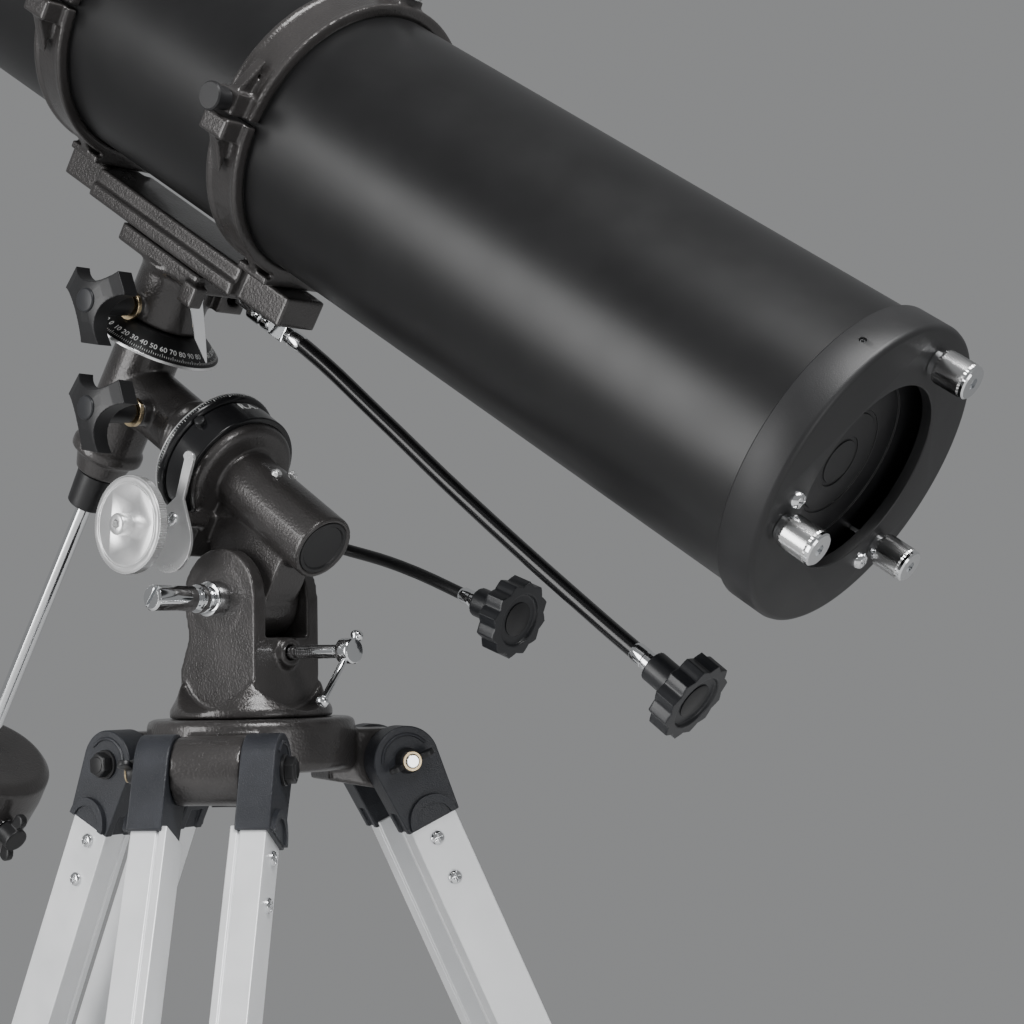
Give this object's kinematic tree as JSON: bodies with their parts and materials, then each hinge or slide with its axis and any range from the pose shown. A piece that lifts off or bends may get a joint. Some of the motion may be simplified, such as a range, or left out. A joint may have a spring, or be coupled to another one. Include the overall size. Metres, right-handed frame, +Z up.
{
  "type": "telescope on tripod",
  "caption": "Reflector telescope in two hinged rings on an equatorial mount with counterweight, on a folding aluminium tripod with tray",
  "frame": {"origin": "middle of the footprint's box, on the floor", "axes": "+Z up; +Y is the level direction of the polar axis; the tube's open end points up and to +Y"},
  "size_m": [0.8352, 0.9294, 1.5281],
  "materials": {
    "hammertone": "gloss hammertone paint on cast metal",
    "satin_black": "satin black paint",
    "cell_black": "fine black powder coat",
    "tube_black": "satin black paint on aluminium",
    "weight": "gloss hammertone paint on cast iron",
    "black_plastic": "textured black plastic",
    "aluminium": "satin anodised",
    "chrome": "polished",
    "silver": "turned and brushed",
    "glass": "aluminised glass mirror"
  },
  "bodies": {
    "tripod_head": {"tripod_head": "hammertone"},
    "head_bolt": {"head_bolt": "black_plastic"},
    "leg_1": {"leg_1_upper": "aluminium", "leg_1_pivot_bolt": "black_plastic"},
    "leg_1_lower": {"leg_1_lower": "aluminium"},
    "leg_1_lock": {"leg_1_lock_screw": "black_plastic"},
    "leg_1_brace": {"leg_1_brace": "black_plastic"},
    "leg_2": {"leg_2_upper": "aluminium", "leg_2_pivot_bolt": "black_plastic"},
    "leg_2_lower": {"leg_2_lower": "aluminium"},
    "leg_2_lock": {"leg_2_lock_screw": "black_plastic"},
    "leg_2_brace": {"leg_2_brace": "black_plastic"},
    "leg_3": {"leg_3_upper": "aluminium", "leg_3_pivot_bolt": "black_plastic"},
    "leg_3_lower": {"leg_3_lower": "aluminium"},
    "leg_3_lock": {"leg_3_lock_screw": "black_plastic"},
    "leg_3_brace": {"leg_3_brace": "black_plastic"},
    "tray": {"tray": "black_plastic"},
    "azimuth": {"azimuth_base": "hammertone"},
    "latitude_bolt": {"latitude_bolt": "chrome"},
    "latitude_screw": {"latitude_screw": "chrome"},
    "latitude_bar": {"latitude_bar": "chrome"},
    "latitude": {"polar_housing": "hammertone", "ra_cable": "satin_black"},
    "ra_circle": {"ra_circle": "tube_black"},
    "ra_worm": {"ra_worm": "silver"},
    "ra_worm_wheel": {"ra_worm_wheel": "silver"},
    "ra_knob": {"ra_knob": "black_plastic"},
    "ra_lever": {"ra_lever": "silver"},
    "hour": {"dec_housing": "hammertone", "counterweight_rod": "chrome"},
    "ra_lock": {"ra_lock_knob": "black_plastic"},
    "counterweight": {"counterweight": "weight"},
    "counterweight_lock": {"counterweight_screw": "black_plastic"},
    "dec_circle": {"dec_circle": "tube_black"},
    "scope": {"saddle": "hammertone", "mounting_plate": "hammertone", "dec_cable": "satin_black", "ring_south_lower": "hammertone", "ring_north_lower": "hammertone"},
    "dec_lock": {"dec_lock_knob": "black_plastic"},
    "dec_worm": {"dec_worm": "chrome"},
    "dec_knob": {"dec_knob": "black_plastic"},
    "ring_south_upper": {"ring_south_upper": "hammertone"},
    "ring_south_screw": {"ring_south_screw": "black_plastic"},
    "ring_north_upper": {"ring_north_upper": "hammertone"},
    "ring_north_screw": {"ring_north_screw": "black_plastic"},
    "camera_screw": {"camera_screw": "chrome"},
    "tube": {"tube": "tube_black", "mirror_cell": "cell_black", "primary_mirror": "glass", "secondary_spider": "satin_black", "focuser_body": "black_plastic", "finder_scope": "tube_black"},
    "collimation_knob_1": {"collimation_knob_1": "chrome"},
    "collimation_knob_2": {"collimation_knob_2": "chrome"},
    "collimation_knob_3": {"collimation_knob_3": "chrome"},
    "focus_knobs": {"focus_knobs": "black_plastic"},
    "drawtube": {"focuser_drawtube": "silver"},
    "eyepiece": {"eyepiece": "satin_black"}
  },
  "joints": [
    {"name": "head_bolt_turn", "type": "hinge", "parent": "tripod_head", "child": "head_bolt", "pos_m": [-0.00422, -0.00721, 0.82], "axis": [0, 0, 1], "continuous": true},
    {"name": "leg_1_fold", "type": "hinge", "parent": "tripod_head", "child": "leg_1", "pos_m": [-0.07572, -0.05034, 0.793], "axis": [0.5165, -0.8563, 0], "range_deg": [0, 18]},
    {"name": "leg_1_extend", "type": "slide", "parent": "leg_1", "child": "leg_1_lower", "axis": [0.3571, 0.2154, 0.9089], "range_m": [-0.12, 0.21]},
    {"name": "leg_1_lock_turn", "type": "hinge", "parent": "leg_1", "child": "leg_1_lock", "pos_m": [-0.28321, -0.1755, 0.26495], "axis": [-0.7782, -0.4695, 0.4171], "continuous": true},
    {"name": "leg_2_fold", "type": "hinge", "parent": "tripod_head", "child": "leg_2", "pos_m": [0.06888, -0.04756, 0.793], "axis": [0.4833, 0.8755, 0], "range_deg": [0, 18]},
    {"name": "leg_2_extend", "type": "slide", "parent": "leg_2", "child": "leg_2_lower", "axis": [-0.3651, 0.2016, 0.9089], "range_m": [-0.12, 0.21]},
    {"name": "leg_2_lock_turn", "type": "hinge", "parent": "leg_2", "child": "leg_2_lock", "pos_m": [0.28102, -0.16467, 0.26495], "axis": [0.7957, -0.4392, 0.4171], "continuous": true},
    {"name": "leg_3_fold", "type": "hinge", "parent": "tripod_head", "child": "leg_3", "pos_m": [-0.00582, 0.07628, 0.793], "axis": [-0.9998, -0.0192, 0], "range_deg": [0, 18]},
    {"name": "leg_3_extend", "type": "slide", "parent": "leg_3", "child": "leg_3_lower", "axis": [0.008, -0.417, 0.9089], "range_m": [-0.12, 0.21]},
    {"name": "leg_3_lock_turn", "type": "hinge", "parent": "leg_3", "child": "leg_3_lock", "pos_m": [-0.01047, 0.31855, 0.26495], "axis": [-0.0174, 0.9087, 0.4171], "continuous": true},
    {"name": "tray_rise", "type": "slide", "parent": "tripod_head", "child": "tray", "axis": [0, 0, 1], "range_m": [0, 0.125]},
    {"name": "leg_1_brace_pivot", "type": "hinge", "parent": "tray", "child": "leg_1_brace", "pos_m": [-0.03333, -0.02477, 0.496], "axis": [0.5165, -0.8563, 0], "range_deg": [0, 60]},
    {"name": "leg_2_brace_pivot", "type": "hinge", "parent": "tray", "child": "leg_2_brace", "pos_m": [0.02555, -0.02364, 0.496], "axis": [0.4833, 0.8755, 0], "range_deg": [0, 60]},
    {"name": "leg_3_brace_pivot", "type": "hinge", "parent": "tray", "child": "leg_3_brace", "pos_m": [-0.00487, 0.02679, 0.496], "axis": [-0.9998, -0.0192, 0], "range_deg": [0, 60]},
    {"name": "azimuth_turn", "type": "hinge", "parent": "tripod_head", "child": "azimuth", "pos_m": [-0.00422, -0.00721, 0.82], "axis": [0, 0, 1], "continuous": true},
    {"name": "latitude_bolt_turn", "type": "hinge", "parent": "azimuth", "child": "latitude_bolt", "pos_m": [-0.00422, -0.00721, 0.89], "axis": [1, 0, 0], "continuous": true},
    {"name": "latitude_screw_turn", "type": "hinge", "parent": "azimuth", "child": "latitude_screw", "pos_m": [-0.00422, -0.00721, 0.858], "axis": [0, -1, 0], "continuous": true},
    {"name": "latitude_bar_slide", "type": "slide", "parent": "latitude_screw", "child": "latitude_bar", "axis": [0.6198, 0, 0.7848], "range_m": [0, 0.025]},
    {"name": "latitude_tilt", "type": "hinge", "parent": "azimuth", "child": "latitude", "pos_m": [-0.00422, -0.00721, 0.89], "axis": [1, 0, 0], "range_deg": [-10, 30]},
    {"name": "ra_circle_turn", "type": "hinge", "parent": "latitude", "child": "ra_circle", "pos_m": [-0.00422, 0.09597, 1.02976], "axis": [0, 0.825, 0.5651], "continuous": true},
    {"name": "ra_worm_turn", "type": "hinge", "parent": "latitude", "child": "ra_worm", "pos_m": [-0.00422, 0.02658, 0.93411], "axis": [1, 0, 0], "continuous": true},
    {"name": "ra_wheel_turn", "type": "hinge", "parent": "latitude", "child": "ra_worm_wheel", "pos_m": [-0.00422, 0.09597, 1.02976], "axis": [0, 0.825, 0.5651], "continuous": true},
    {"name": "ra_knob_turn", "type": "hinge", "parent": "latitude", "child": "ra_knob", "pos_m": [0.08078, -0.11387, 0.88611], "axis": [0, -0.9322, -0.3619], "continuous": true},
    {"name": "ra_lever_swing", "type": "hinge", "parent": "latitude", "child": "ra_lever", "pos_m": [-0.00422, 0.01037, 0.93743], "axis": [1, 0, 0], "range_deg": [-20, 20]},
    {"name": "right_ascension", "type": "hinge", "parent": "latitude", "child": "hour", "pos_m": [-0.00422, 0.09597, 1.02976], "axis": [0, 0.825, 0.5651], "range_deg": [-90, 30]},
    {"name": "ra_lock_turn", "type": "hinge", "parent": "hour", "child": "ra_lock", "pos_m": [-0.03252, 0.06324, 1.00675], "axis": [-0.9999, 0.0098, -0.0143], "continuous": true},
    {"name": "counterweight_slide", "type": "slide", "parent": "hour", "child": "counterweight", "axis": [-0.0173, -0.565, 0.8249], "range_m": [-0.025, 0.15]},
    {"name": "counterweight_lock_turn", "type": "hinge", "parent": "counterweight", "child": "counterweight_lock", "pos_m": [0.00117, 0.27226, 0.77239], "axis": [0, -0.825, -0.5651], "continuous": true},
    {"name": "dec_circle_turn", "type": "hinge", "parent": "hour", "child": "dec_circle", "pos_m": [-0.00422, 0.09597, 1.02976], "axis": [-0.0173, -0.565, 0.8249], "continuous": true},
    {"name": "declination", "type": "hinge", "parent": "hour", "child": "scope", "pos_m": [-0.00422, 0.09597, 1.02976], "axis": [-0.0173, -0.565, 0.8249], "continuous": true},
    {"name": "dec_lock_turn", "type": "hinge", "parent": "scope", "child": "dec_lock", "pos_m": [-0.03339, 0.0643, 1.07292], "axis": [-0.998, -0.0408, -0.0488], "continuous": true},
    {"name": "dec_worm_turn", "type": "hinge", "parent": "scope", "child": "dec_worm", "pos_m": [0.02237, 0.05276, 1.09588], "axis": [0.0612, -0.8241, -0.5632], "continuous": true},
    {"name": "dec_knob_turn", "type": "hinge", "parent": "scope", "child": "dec_knob", "pos_m": [0.04737, -0.26072, 0.8465], "axis": [0.0622, -0.7881, -0.6123], "continuous": true},
    {"name": "ring_south_open", "type": "hinge", "parent": "scope", "child": "ring_south_upper", "pos_m": [0.0907, -0.07866, 1.16065], "axis": [-0.0612, 0.8241, 0.5632], "range_deg": [0, 110]},
    {"name": "ring_south_screw_turn", "type": "hinge", "parent": "ring_south_upper", "child": "ring_south_screw", "pos_m": [-0.00324, -0.08673, 1.16225], "axis": [-0.998, -0.0408, -0.0488], "continuous": true},
    {"name": "ring_north_open", "type": "hinge", "parent": "scope", "child": "ring_north_upper", "pos_m": [0.08042, 0.05978, 1.25527], "axis": [-0.0612, 0.8241, 0.5632], "range_deg": [0, 110]},
    {"name": "ring_north_screw_turn", "type": "hinge", "parent": "ring_north_upper", "child": "ring_north_screw", "pos_m": [-0.01352, 0.05171, 1.25686], "axis": [-0.998, -0.0408, -0.0488], "continuous": true},
    {"name": "camera_screw_turn", "type": "hinge", "parent": "ring_south_upper", "child": "camera_screw", "pos_m": [-0.00475, -0.13617, 1.23443], "axis": [-0.0173, -0.565, 0.8249], "continuous": true},
    {"name": "tube_slide", "type": "slide", "parent": "scope", "child": "tube", "axis": [-0.0612, 0.8241, 0.5632], "range_m": [-0.06, 0.06]},
    {"name": "collimation_knob_1_turn", "type": "hinge", "parent": "tube", "child": "collimation_knob_1", "pos_m": [-0.0021, -0.05611, 1.25252], "axis": [0.0612, -0.8241, -0.5632], "continuous": true},
    {"name": "collimation_knob_2_turn", "type": "hinge", "parent": "tube", "child": "collimation_knob_2", "pos_m": [-0.06656, -0.00734, 1.17416], "axis": [0.0612, -0.8241, -0.5632], "continuous": true},
    {"name": "collimation_knob_3_turn", "type": "hinge", "parent": "tube", "child": "collimation_knob_3", "pos_m": [0.04538, 0.00387, 1.16992], "axis": [0.0612, -0.8241, -0.5632], "continuous": true},
    {"name": "focus_knob_turn", "type": "hinge", "parent": "tube", "child": "focus_knobs", "pos_m": [-0.0763, 0.16582, 1.4382], "axis": [-0.0612, 0.8241, 0.5632], "range_deg": [-222, 264]},
    {"name": "focus_travel", "type": "slide", "parent": "tube", "child": "drawtube", "axis": [-0.7179, -0.4284, 0.5488], "range_m": [-0.021, 0.025]},
    {"name": "eyepiece_out", "type": "slide", "parent": "drawtube", "child": "eyepiece", "axis": [-0.7179, -0.4284, 0.5488], "range_m": [0, 0.03]}
  ],
  "couplings": [
    {"joint": "leg_2_fold", "follows": "leg_1_fold", "ratio": 1},
    {"joint": "leg_3_fold", "follows": "leg_1_fold", "ratio": 1},
    {"joint": "tray_rise", "follows": "leg_1_fold", "m_per_rad": 0.3928},
    {"joint": "leg_1_brace_pivot", "follows": "leg_1_fold", "ratio": 3.3},
    {"joint": "leg_2_brace_pivot", "follows": "leg_1_fold", "ratio": 3.3},
    {"joint": "leg_3_brace_pivot", "follows": "leg_1_fold", "ratio": 3.3},
    {"joint": "ra_wheel_turn", "follows": "ra_worm_turn", "ratio": 0.01},
    {"joint": "ra_knob_turn", "follows": "ra_worm_turn", "ratio": 1},
    {"joint": "dec_worm_turn", "follows": "dec_knob_turn", "ratio": 1},
    {"joint": "focus_knob_turn", "follows": "focus_travel", "rad_per_m": 181.82}
  ]
}
